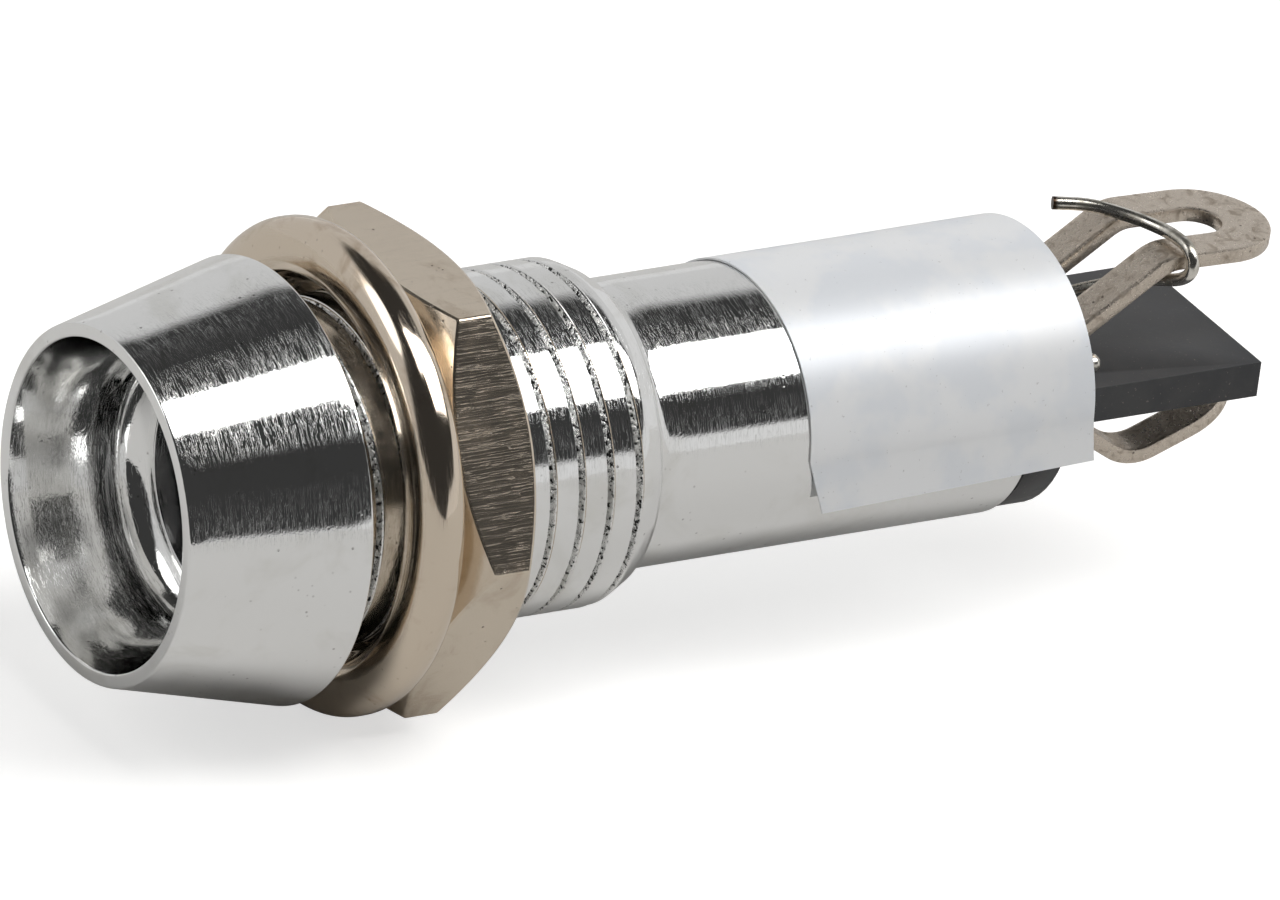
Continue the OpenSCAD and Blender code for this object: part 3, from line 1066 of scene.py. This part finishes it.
@dataclass
class Housing:
    """The chromed bezel, its reflector, the threaded stem and the plain barrel.

    Attributes:
        mouth: where the rim stands, on the axis.
        rim_inner, rim_outer: the rim's radii.
        cone_end: the bezel's radius and place at its widest.
        seat_outer: the seat's outer radius.
        bore: the bore's radius.
        bore_front: where the bore steps down to the throat.
        throat: the throat's radius.
        throat_front: where the throat opens into the bowl.
        bowl: the reflector bowl's centre and half-sizes.
        barrel: the barrel's radius.
        barrel_end: where the barrel ends.
        thread: the thread on the stem.
    """

    mouth: float = -4.22
    rim_inner: float = 3.78
    rim_outer: float = 4.10
    cone_end: Pair = (5.075, -0.06)
    seat_outer: float = 5.015
    bore: float = 2.95
    bore_front: float = 6.64
    throat: float = 2.55
    throat_front: float = -1.16
    bowl: tuple[Pair, Pair] = ((2.70, -1.92), (0.66, 0.86))
    barrel: float = 3.28
    barrel_end: float = 18.5
    thread: Thread = field(default_factory=Thread)

    TAIL_CHAMFER: ClassVar[float] = 0.15
    SHOULDER_DROP: ClassVar[Pair] = (0.08, 0.1)
    FILLET: ClassVar[Pair] = (0.34, 0.40)
    EDGE: ClassVar[float] = 0.05
    LONGEST_SPAN: ClassVar[float] = 0.5

    def outline(self) -> list[Pair]:
        """The open outline from the stem's seat, round the mouth and back outside."""
        centre, radii = self.bowl
        front = [(self.thread.crest, 0.0), (self.seat_outer, 0.0), self.cone_end,
                 (self.rim_outer, self.mouth), (self.rim_inner, self.mouth),
                 (centre[0] + radii[0], centre[1])]
        bowl = arc(centre, radii, 0, 90, 14)[1:]
        inside = [(self.throat, self.throat_front), (self.throat, self.bore_front),
                  (self.bore, self.bore_front), (self.bore, self.barrel_end),
                  (self.barrel - self.TAIL_CHAMFER, self.barrel_end),
                  (self.barrel, self.barrel_end - self.TAIL_CHAMFER)]
        drop, step = self.SHOULDER_DROP
        neck = self.thread.end_radius - drop
        foot = self.thread.length + step + self.FILLET[1]
        fillet = arc((neck, foot), self.FILLET, -90, -180, 8)
        back = [(self.barrel, foot)] + fillet[::-1][1:]
        rounded = round_corners(front + bowl + inside + back, self.EDGE)
        end = (self.thread.end_radius, self.thread.length)
        return refine(rounded + [end], self.LONGEST_SPAN)

    def build(self) -> None:
        """Makes the housing and hands it over."""
        shell = finish_mesh("housing_shell", lathe(self.outline(), self.thread.columns),
                            CHROME)
        piece = self.thread.tool(CHROME).run(shell, 35)
        face_outwards(piece.data)
        hand_over(piece, Body.LAMP, "housing")


@dataclass
class PanelWasher:
    """The domed washer that sits loose behind the bezel.

    Attributes:
        hole: its hole's radius.
        back: where its back face lies.
        crown: the crown's centre and half-sizes.
        edge: the rolled edge's centre and half-sizes.
        offset: how far it hangs off the axis, and the way it hangs in degrees.
    """

    hole: float = 4.15
    back: float = 2.17
    crown: tuple[Pair, Pair] = ((4.70, 1.60), (0.93, 0.58))
    edge: tuple[Pair, Pair] = ((5.23, 1.70), (0.40, 0.47))
    offset: tuple[float, float] = (0.08, 31.0)

    def outline(self) -> list[Pair]:
        """The washer's closed cross-section."""
        dish = [(self.hole, self.back), (self.hole, 1.72), (4.47, 1.14)]
        loop = dish + arc(*self.crown, 270, 360, 20) + arc(*self.edge, 0, 90, 12)[1:]
        return refine(round_corners(loop + [loop[0]], 0.06)[:-1], 0.12)

    def build(self) -> None:
        """Makes the washer and hands it over."""
        bm = lathe(self.outline(), 256, closed=True)
        size, angle = self.offset
        shift = Vector((-size * math.sin(math.radians(angle)), 0,
                        size * math.cos(math.radians(angle)))) * MM
        bmesh.ops.translate(bm, verts=bm.verts, vec=shift)
        piece = finish_mesh("domed_washer_dressed", bm, WASHER_NICKEL)
        hand_over(piece, Body.WASHER, "domed_washer")


@dataclass
class PanelNut:
    """The hexagonal nut, turned to a chamfer at both faces.

    Attributes:
        flats: the size across flats.
        front, back: where its faces lie.
        corner: the rounding of its six edges.
        face_front, face_back: the radii where the chamfers start.
        slope_front, slope_back: the chamfers' slopes in degrees.
        bore: the bore's radius.
        entry: the size of the bore's entry chamfers.
        soft: the rounding of the chamfers' edges.
    """

    flats: float = 10.0
    front: float = 2.2
    back: float = 4.25
    corner: float = 0.10
    face_front: float = 4.79
    face_back: float = 4.95
    slope_front: float = 32.0
    slope_back: float = 35.0
    bore: float = 3.98
    entry: float = 0.26
    soft: float = 0.04

    CORNER_SPANS: ClassVar[int] = 6
    FLAT_SPANS: ClassVar[int] = 20

    def outline(self) -> list[Pair]:
        """The hexagon's (x, z) points with rounded corners, corners on the X axis."""
        reach = (self.flats / 2 - self.corner) / math.cos(math.radians(30))

        def rounded(corner: int, lean: float) -> Pair:
            """A point on a rounded corner, at a lean from its middle in degrees."""
            middle = math.radians(90 + 60 * corner)
            way = middle + math.radians(lean)
            return (reach * math.sin(middle) + self.corner * math.sin(way),
                    reach * math.cos(middle) + self.corner * math.cos(way))

        points: list[Pair] = []
        for k in range(6):
            points += [rounded(k, -30 + 60 * i / self.CORNER_SPANS)
                       for i in range(self.CORNER_SPANS + 1)]
            start, end = points[-1], rounded(k + 1, -30)
            points += [(start[0] + (end[0] - start[0]) * j / self.FLAT_SPANS,
                        start[1] + (end[1] - start[1]) * j / self.FLAT_SPANS)
                       for j in range(1, self.FLAT_SPANS)]
        return points

    def column(self, point: Pair) -> list[Vector]:
        """The nut's closed section through one point of its outline.

        Args:
            point: the (x, z) point on the hexagon.

        Returns:
            The section's points in order.
        """
        reach = math.hypot(*point)
        turn = math.atan2(*point)
        rise = math.tan(math.radians(self.slope_front))
        fall = math.tan(math.radians(self.slope_back))
        low = self.front + max(0.0, reach - self.face_front) * rise
        high = self.back - max(0.0, reach - self.face_back) * fall
        soft = self.soft
        inner = min(self.face_front + soft, reach - soft * 1.2)
        section = [(self.bore, self.front + self.entry),
                   (self.bore + self.entry, self.front),
                   (self.face_front - 2 * soft, self.front),
                   (self.face_front - soft, self.front),
                   (inner, self.front + soft * rise * 0.7),
                   (reach - soft, low - soft * rise), (reach, low + soft),
                   (reach, (low + high) / 2), (reach, high - soft),
                   (reach - soft * 0.8, high + soft * 0.8 * fall),
                   (min(self.face_back, reach - soft) - 0.02, self.back),
                   (self.bore + self.entry, self.back),
                   (self.bore, self.back - self.entry)]
        return [ring_point(r, y, turn) for r, y in section]

    def build(self) -> None:
        """Makes the nut and hands it over."""
        bm = bmesh.new()
        columns = [[bm.verts.new(p) for p in self.column(q)] for q in self.outline()]
        for a, b in zip(columns, columns[1:] + columns[:1]):
            for i in range(len(a)):
                j = (i + 1) % len(a)
                bm.faces.new((a[i], a[j], b[j], b[i]))
        piece = finish_mesh("hex_nut_dressed", bm, NUT_NICKEL, sharp=20)
        hand_over(piece, Body.NUT, "hex_nut")


@dataclass
class Label:
    """The silvery foil wound round the barrel, with a free flap on one side.

    Attributes:
        radius: the radius of its inner face.
        thickness: the foil's thickness.
        front: where its front edge crosses the middle.
        width: its width along the axis.
        skew: how far its edges lean for each mm across.
        start, end: the angles that it covers, in degrees.
        flap: the length of the free flap.
        flap_front, flap_back: where the flap's edges start and end on the axis.
        flap_taper: how much shorter the flap is at its back.
        lift: how far the flap's edge springs out.
        wave: the height of the slight waves that wound foil keeps.
    """

    radius: float = 3.285
    thickness: float = 0.045
    front: float = 12.22
    width: float = 7.47
    skew: float = 0.0594
    start: float = -178.0
    end: float = 87.0
    flap: float = 1.32
    flap_front: Pair = (12.415, 12.875)
    flap_back: Pair = (19.885, 19.985)
    flap_taper: float = 0.19
    lift: float = 0.05
    wave: float = 0.008

    TURN_SPANS: ClassVar[int] = 150
    WIDTH_SPANS: ClassVar[int] = 30
    FLAP_SPANS: ClassVar[int] = 16

    def build(self) -> None:
        """Makes the foil and hands it over."""
        bm = bmesh.new()
        strip_faces(bm, self.wound_rows() + self.flap_rows())
        bmesh.ops.recalc_face_normals(bm, faces=bm.faces)
        bm.faces.ensure_lookup_table()
        middle = bm.faces[len(bm.faces) // 2]
        centre = middle.calc_center_median()
        if middle.normal.dot(Vector((centre.x, 0, centre.z))) < 0:
            bmesh.ops.reverse_faces(bm, faces=bm.faces)
        mesh = bpy.data.meshes.new("label_foil")
        bm.to_mesh(mesh)
        bm.free()
        mesh.materials.append(FOIL.material())
        mesh.shade_smooth()
        piece = bpy.data.objects.new("label_foil", mesh)
        bpy.context.scene.collection.objects.link(piece)
        thicken(piece, self.thickness, 1.0)
        hand_over(settle(piece), Body.LAMP, "label_wrap")

    def wound_rows(self) -> list[list[Vector]]:
        """The rows of points on the part that is wound round the barrel."""
        rows = []
        for i in range(self.TURN_SPANS + 1):
            angle = self.start + (self.end - self.start) * i / self.TURN_SPANS
            turn = math.radians(angle)
            edge = self.front + self.skew * self.radius * math.sin(turn)
            rows.append([self.point(turn, edge + self.width * j / self.WIDTH_SPANS)
                         for j in range(self.WIDTH_SPANS + 1)])
        return rows

    def flap_rows(self) -> list[list[Vector]]:
        """The rows of points on the flap, which runs on straight and springs out."""
        turn = math.radians(self.end)
        tangent = Vector((math.cos(turn), 0, -math.sin(turn)))
        out = Vector((math.sin(turn), 0, math.cos(turn)))
        rows = []
        for i in range(1, self.FLAP_SPANS + 1):
            t = i / self.FLAP_SPANS
            near, far = (a + (b - a) * t for a, b in (self.flap_front, self.flap_back))
            row = []
            for j in range(self.WIDTH_SPANS + 1):
                s = j / self.WIDTH_SPANS
                place = out * self.radius
                place += tangent * self.flap * t * (1 - self.flap_taper * s)
                place += out * self.lift * (t * t) * (0.5 + 0.5 * s)
                place.y = near + (far - near) * s
                row.append(place * MM)
            rows.append(row)
        return rows

    def point(self, turn: float, along: float) -> Vector:
        """A point on the wound foil, with its slight waves.

        Args:
            turn: its angle, in radians.
            along: its place on the axis, in mm.

        Returns:
            The point in metres.
        """
        wave = noise.noise(Vector((math.sin(turn) * 2.2, along * 0.35,
                                   math.cos(turn) * 2.2)))
        return ring_point(self.radius + self.wave * (1 + wave), along, turn)


@dataclass
class Indicator:
    """The clear indicator with its two leads, spacer, sleeve, splice and resistor.

    Attributes:
        lens: the lens's radius.
        tip: where its dome ends.
        flange: the flange's radius.
        base: where the flange ends.
        lead: the leads' radius.
        lead_path: the cathode lead's way to the lugs.
    """

    lens: float = 2.5
    tip: float = -0.96
    flange: float = 2.9
    base: float = 7.64
    lead: float = 0.225
    lead_path: tuple[Triple, ...] = (
        (1.27, 7.64, 0), (1.27, 11.0, 0), (1.27, 14.4, 0), (1.27, 14.5, 0),
        (1.545, 15.15, 0.33), (1.82, 15.8, 0.66), (1.82, 15.9, 0.66), (1.82, 18.3, 0.66),
        (1.82, 20.55, 0.66), (1.82, 20.70, 0.66))

    BEAD: ClassVar[tuple[Pair, ...]] = ((0.93, 0.05), (0.75, 0.05), (0.45, 0.035))

    def build(self) -> None:
        """Makes the lens and the cathode lead, and dresses the parts inside."""
        dome = arc((0, self.tip + self.lens), (self.lens, self.lens), -90, 0, 24)
        outline = dome + [(self.lens, self.base - 1), (self.flange, self.base - 1),
                          (self.flange, self.base), (0, self.base)]
        bm = lathe(refine(round_corners(outline, 0.08), 0.5), 128)
        piece = finish_mesh("indicator_lens", bm, EPOXY)
        hand_over(piece, Body.LAMP, "lamp_dome")
        wire = sweep("cathode_lead_wire", smooth_path(self.lead_path), self.lead,
                     TIN_LEAD, relief=0.01)
        self.round_end(wire)
        hand_over(wire, Body.LAMP, "cathode_lead")
        for node, finish in (("anode_lead", TIN_LEAD), ("lead_spacer", BLACK),
                             ("cathode_sleeve", BLACK), ("splice_solder", SOLDER),
                             ("resistor_front_lead", TIN_LEAD),
                             ("resistor_body", RESISTOR)):
            dress(node, finish)

    def round_end(self, wire: bpy.types.Object) -> None:
        """Draws the wire's flat end out to a bead of tin.

        Args:
            wire: the swept lead.
        """
        bm = bmesh.new()
        bm.from_mesh(wire.data)
        cap = max((f for f in bm.faces if len(f.verts) > 8),
                  key=lambda f: f.calc_center_median().y)
        for scale, step in self.BEAD:
            bmesh.ops.inset_individual(bm, faces=[cap], thickness=0)
            centre = cap.calc_center_median()
            reach = max((v.co - centre).length for v in cap.verts)
            for v in cap.verts:
                v.co = centre + (v.co - centre) * (self.lead * MM * scale / reach) \
                    + Vector((0, step * MM, 0))
        bm.to_mesh(wire.data)
        bm.free()
        wire.data.shade_smooth()


@dataclass
class HookedLead:
    """The resistor's bare back lead, hooked over the lugs.

    Attributes:
        radius: the wire's radius.
        path: the points that it is bent through.
    """

    radius: float = 0.15
    path: tuple[Triple, ...] = (
        (-1.27, 14.7, .375), (-1.27, 14.8, .375), (-1.27, 14.95, .375),
        (-.8, 15.4, .64), (-.3, 15.85, .9), (-.3, 15.95, .9), (-.3, 19.55, .9),
        (-.3, 19.75, .9), (-.12, 21.05, 1.4), (.5, 22, 1.86), (1.15, 22.6, 2.16),
        (1.6, 22.91, 2.34), (1.82, 23.03, 2.66), (1.6, 23.05, 3.02), (1.1, 23.03, 3.1),
        (.5, 22.93, 3.08), (-.3, 22.55, 3.07), (-.98, 21.95, 3.08), (-1.32, 21.18, 3.09))

    def build(self) -> None:
        """Makes the lead and hands it over."""
        piece = sweep("hooked_lead_wire", smooth_path(self.path), self.radius, TIN_WIRE)
        hand_over(piece, Body.LAMP, "hooked_lead")


@dataclass
class Lug:
    """A hairpin solder lug stamped from strip and bent.

    Attributes:
        name: the piece's name.
        node: the CAD node that it stands for.
        line: the (y, z) corners and bend points of its middle line.
        round_at: where its round end has its centre.
        width: its width.
        slot: its slot's width.
        metal: its thickness.
        root: where it ends inside the plug.
        slot_back: how far the slot's round end sits behind the lug's own.
        edge: the rounding of its edges.
    """

    name: str
    node: str
    line: Sequence[Pair]
    round_at: float
    width: float = 3.1
    slot: float = 1.2
    metal: float = 0.35
    root: float = 17.0
    slot_back: float = 0.2
    edge: float = 0.045

    LEG_SPANS: ClassVar[int] = 72
    END_SPANS: ClassVar[int] = 28
    WIDTH_SPANS: ClassVar[int] = 8

    def height(self, along: float) -> float:
        """The middle line's height at a place on the axis."""
        spans = list(zip(self.line, self.line[1:]))
        (y0, z0), (y1, z1) = next((span for span in spans if along <= span[1][0]),
                                  spans[-1])
        return z0 + (z1 - z0) * (along - y0) / (y1 - y0)

    def edges(self) -> list[tuple[Pair, Pair]]:
        """Matching (x, y) points on the outer and the inner edge, round the hairpin."""
        outer, inner = self.width / 2, self.slot / 2
        slot_at = self.round_at - self.slot_back
        places = [self.root + (self.round_at - self.root) * i / self.LEG_SPANS
                  for i in range(self.LEG_SPANS)]
        legs = {side: [((side * outer, y), (side * inner, min(y, slot_at)))
                       for y in places] for side in (-1, 1)}
        turns = [math.pi * (1 - i / self.END_SPANS) for i in range(self.END_SPANS + 1)]
        end = [((outer * math.cos(a), self.round_at + outer * math.sin(a)),
                (inner * math.cos(a), slot_at + inner * math.sin(a))) for a in turns]
        return legs[-1] + end + legs[1][::-1]

    def build(self) -> None:
        """Makes the lug and hands it over."""
        rows = []
        for out, inn in self.edges():
            row = []
            for j in range(self.WIDTH_SPANS + 1):
                t = j / self.WIDTH_SPANS
                x = out[0] + (inn[0] - out[0]) * t
                y = out[1] + (inn[1] - out[1]) * t
                row.append(Vector((x, y, self.height(y))) * MM)
            rows.append(row)
        bm = bmesh.new()
        strip_faces(bm, rows)
        piece = finish_mesh(self.name, bm, LUG_NICKEL)
        thicken(piece, self.metal, 0.0)
        soften(piece, self.edge, 2, 60)
        hand_over(settle(piece), Body.LAMP, self.node)


def bend_line(start: Pair, moves: Bends) -> list[Pair]:
    """Follows straights and bends from a start that looks along the axis.

    Args:
        start: the first (y, z) point.
        moves: straight length, bend radius and bend angle in degrees, in turn.

    Returns:
        The line's points.
    """
    y, z = start
    heading = 0.0
    points = [start]
    for straight, radius, angle in moves:
        y, z = y + straight * math.cos(heading), z + straight * math.sin(heading)
        points.append((y, z))
        steps = max(1, round(abs(angle) / 3))
        for _ in range(steps):
            step = math.radians(angle / steps)
            chord = 2 * radius * math.sin(abs(step) / 2)
            heading += step / 2
            y, z = y + chord * math.cos(heading), z + chord * math.sin(heading)
            heading += step / 2
            points.append((y, z))
    return points


@dataclass
class Terminals:
    """The black plug with its dividing plate, and the two lugs that it carries.

    Attributes:
        edge: the rounding of the moulding's edges.
        upper_root, lower_root: where each lug's middle line starts, as (y, z).
        upper_bends, lower_bends: each lug's straights and bends.
        upper_end, lower_end: where each lug's round end has its centre.
    """

    edge: float = 0.07
    upper_root: Pair = (17.0, 0.79)
    upper_bends: Bends = ((2.55, 0.8, 34), (2.90, 0.9, -35.5), (3.5, 1, 0))
    upper_end: float = 24.41
    lower_root: Pair = (17.0, -0.70)
    lower_bends: Bends = ((2.75, 0.8, -34), (1.90, 1.2, 55), (3.5, 1, 0))
    lower_end: float = 23.85

    def build(self) -> None:
        """Makes the moulding and the lugs, and hands them over."""
        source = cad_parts["terminal_plug"]
        bm = bmesh.new()
        bm.from_mesh(source.data)
        bmesh.ops.remove_doubles(bm, verts=bm.verts, dist=1e-7)
        bmesh.ops.dissolve_limit(bm, angle_limit=math.radians(1), verts=bm.verts,
                                 edges=bm.edges)
        piece = finish_mesh("terminal_moulding", bm, BLACK)
        soften(piece, self.edge, 3, 50)
        hand_over(settle(piece, 40), Body.LAMP, "terminal_plug")
        for side, root, bends, end in (
                ("upper", self.upper_root, self.upper_bends, self.upper_end),
                ("lower", self.lower_root, self.lower_bends, self.lower_end)):
            Lug(f"{side}_lug_blade", f"{side}_lug", bend_line(root, bends), end).build()


# ------------------------------------------------------------------ the studio


@dataclass
class Studio:
    """The floor, the light and the camera.

    Attributes:
        distance: from the camera to the object, in mm.
        frame_width: how much of the object's plane the picture spans.
        target: the point in the middle of the picture.
        right, back: the camera's own axes.
        dome, wall, low, box, front: the levels of the dark ceiling, the pale wall, the
            pale band over the floor, the overhead softbox and the front lamp.
        front_way: the way to the front lamp.
        floor_radius: the floor's radius.
        floor_glow: how much of the floor's white is its own, where it is seen directly.
    """

    distance: float = 908.0
    frame_width: float = 28.42
    target: Triple = (4.033, 7.330, 1.621)
    right: Triple = (0.50893, 0.85212, 0.12199)
    back: Triple = (0.73931, -0.50528, 0.44510)
    dome: float = 0.04
    wall: float = 0.60
    low: float = 0.70
    box: float = 5.0
    front: float = 2.2
    front_way: Triple = (-0.28, -0.75, 0.60)
    floor_radius: float = 3000.0
    floor_glow: float = 0.62

    WALL_TOP: ClassVar[Pair] = (0.76, 0.62)
    WALL_SIDE: ClassVar[Pair] = (0.06, -0.10)
    BAND_RISE: ClassVar[float] = 0.33
    BAND_EDGE: ClassVar[Pair] = (0.03, -0.03)
    BOX_NEAR: ClassVar[Pair] = (0.08, 0.11)
    BOX_FAR: ClassVar[Pair] = (0.10, -0.02)
    BOX_WIDENS: ClassVar[tuple[float, ...]] = (0.1, 0.6, 0.44, 0.87)
    BOX_FRONT: ClassVar[Pair] = (-0.30, -0.10)
    BOX_BACK: ClassVar[Pair] = (2.2, 1.6)
    BOX_LOW: ClassVar[Pair] = (0.02, 0.10)
    LAMP_EDGE: ClassVar[Pair] = (0.955, 0.975)

    def build(self) -> None:
        """Makes the floor, the world and the camera."""
        self.floor()
        self.world()
        self.camera()

    def camera(self) -> None:
        """Puts the camera at its place."""
        data = bpy.data.cameras.new("camera")
        data.sensor_width = 36.0
        data.lens = 36.0 * self.distance / self.frame_width
        data.clip_start, data.clip_end = 0.1, 20.0
        camera = bpy.data.objects.new("camera", data)
        back = Vector(self.back).normalized()
        right = Vector(self.right)
        right = (right - back * right.dot(back)).normalized()
        up = back.cross(right)
        turn = Matrix((right, up, back)).transposed().to_4x4()
        place = (Vector(self.target) + back * self.distance) * MM
        camera.matrix_world = Matrix.Translation(place) @ turn
        bpy.context.scene.collection.objects.link(camera)
        bpy.context.scene.camera = camera

    def floor(self) -> None:
        """Lays the pale floor under the lowest point."""
        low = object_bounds()[0].z
        bm = bmesh.new()
        bmesh.ops.create_circle(bm, cap_ends=True, segments=96,
                                  radius=self.floor_radius * MM)
        bmesh.ops.translate(bm, verts=bm.verts, vec=(0, 0, low))
        mesh = bpy.data.meshes.new("floor")
        bm.to_mesh(mesh)
        bm.free()
        shader = Shader("floor")
        shader.set(Base_Color=tone(205, 204, 202), Roughness=0.9,
                   Specular_IOR_Level=0.2)
        seen = shader.add("ShaderNodeLightPath").outputs["Is Camera Ray"]
        shader.set(Emission_Color=(1, 1, 1, 1),
                   Emission_Strength=shader.math("MULTIPLY", seen, self.floor_glow))
        mesh.materials.append(shader.material)
        floor = bpy.data.objects.new("floor", mesh)
        bpy.context.scene.collection.objects.link(floor)
        floor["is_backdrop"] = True

    def world(self) -> None:
        """Fills the world: dark ceiling, pale wall and band, and a long softbox."""
        world = bpy.data.worlds.new("studio")
        world.use_nodes = True
        bpy.context.scene.world = world
        g = Graph(world.node_tree)
        way = g.add("ShaderNodeTexCoord").outputs["Generated"]
        x, y, z = g.split(way)
        up = g.math("MAXIMUM", z, 0.02)
        across, along = g.math("DIVIDE", x, up), g.math("DIVIDE", y, up)
        wall = g.math("MULTIPLY", g.ease(z, *self.WALL_TOP), g.ease(x, *self.WALL_SIDE))
        rise = g.math("SUBTRACT", z, g.math("MULTIPLY", y, self.BAND_RISE))
        low = g.ease(rise, *self.BAND_EDGE)
        pale = g.math("MAXIMUM", g.math("MULTIPLY", wall, self.wall),
                      g.math("MULTIPLY", low, self.low))
        base = g.math("MAXIMUM", pale, self.dome)
        past = g.math("SUBTRACT", across, g.ease(along, *self.BOX_WIDENS))
        box = g.ease(across, *self.BOX_NEAR)
        for value, edge in ((past, self.BOX_FAR), (along, self.BOX_FRONT),
                            (along, self.BOX_BACK), (z, self.BOX_LOW)):
            box = g.math("MULTIPLY", box, g.ease(value, *edge))
        front = g.ease(g.vector("DOT_PRODUCT", way, self.front_way), *self.LAMP_EDGE)
        base = g.math("MAXIMUM", base, g.math("MULTIPLY", front, self.front))
        level = g.math("ADD", base, g.math("MULTIPLY", box, self.box))
        light = g.add("ShaderNodeBackground",
                      {"Color": (1, 1, 1, 1), "Strength": level})
        white = g.add("ShaderNodeBackground", {"Color": (1, 1, 1, 1), "Strength": 1.0})
        path = g.add("ShaderNodeLightPath").outputs["Is Camera Ray"]
        mixed = g.add("ShaderNodeMixShader",
                      {0: path, 1: light.outputs[0], 2: white.outputs[0]})
        g.add("ShaderNodeOutputWorld", {"Surface": mixed.outputs[0]})


def main() -> None:
    """Builds every sub-assembly in order, then the studio."""
    logging.basicConfig(level=logging.INFO, format="%(name)s: %(message)s")
    bpy.context.scene.view_settings.view_transform = "Standard"
    for part in (Housing(), PanelWasher(), PanelNut(), Label(), Indicator(),
                 HookedLead(), Terminals(), Studio()):
        LOG.info("building %s", type(part).__name__)
        part.build()


if __name__ == "__main__":
    main()
